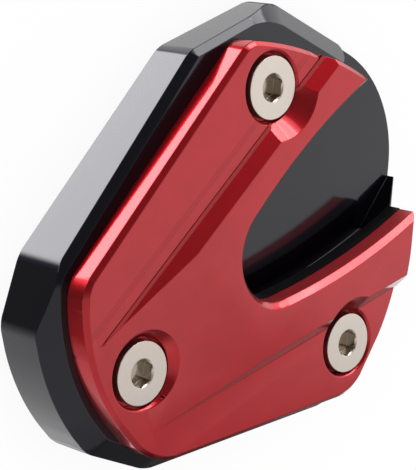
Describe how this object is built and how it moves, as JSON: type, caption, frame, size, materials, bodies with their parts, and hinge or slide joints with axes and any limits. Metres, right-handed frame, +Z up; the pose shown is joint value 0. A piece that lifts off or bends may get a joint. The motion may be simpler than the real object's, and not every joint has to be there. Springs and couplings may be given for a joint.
{
  "type": "motorcycle side stand foot enlarger",
  "caption": "Two-plate clamp-on foot that widens a motorcycle side stand, with a wedge-shaped base and an open slot.",
  "frame": {"origin": "on the ground face, under the middle of the line between the two lower screws", "axes": "+Z up from the ground, +X along the two lower screws towards the open end of the slot, +Y towards the upper screw"},
  "size_m": [0.0787, 0.0731, 0.0152],
  "materials": {
    "base": "black anodised, satin",
    "top": "red anodised, satin",
    "screws": "stainless, satin"
  },
  "bodies": {
    "root": {"base_plate": "base", "top_plate": "top", "screw_upper": "screws", "screw_lower_left": "screws", "screw_lower_right": "screws"}
  },
  "joints": []
}
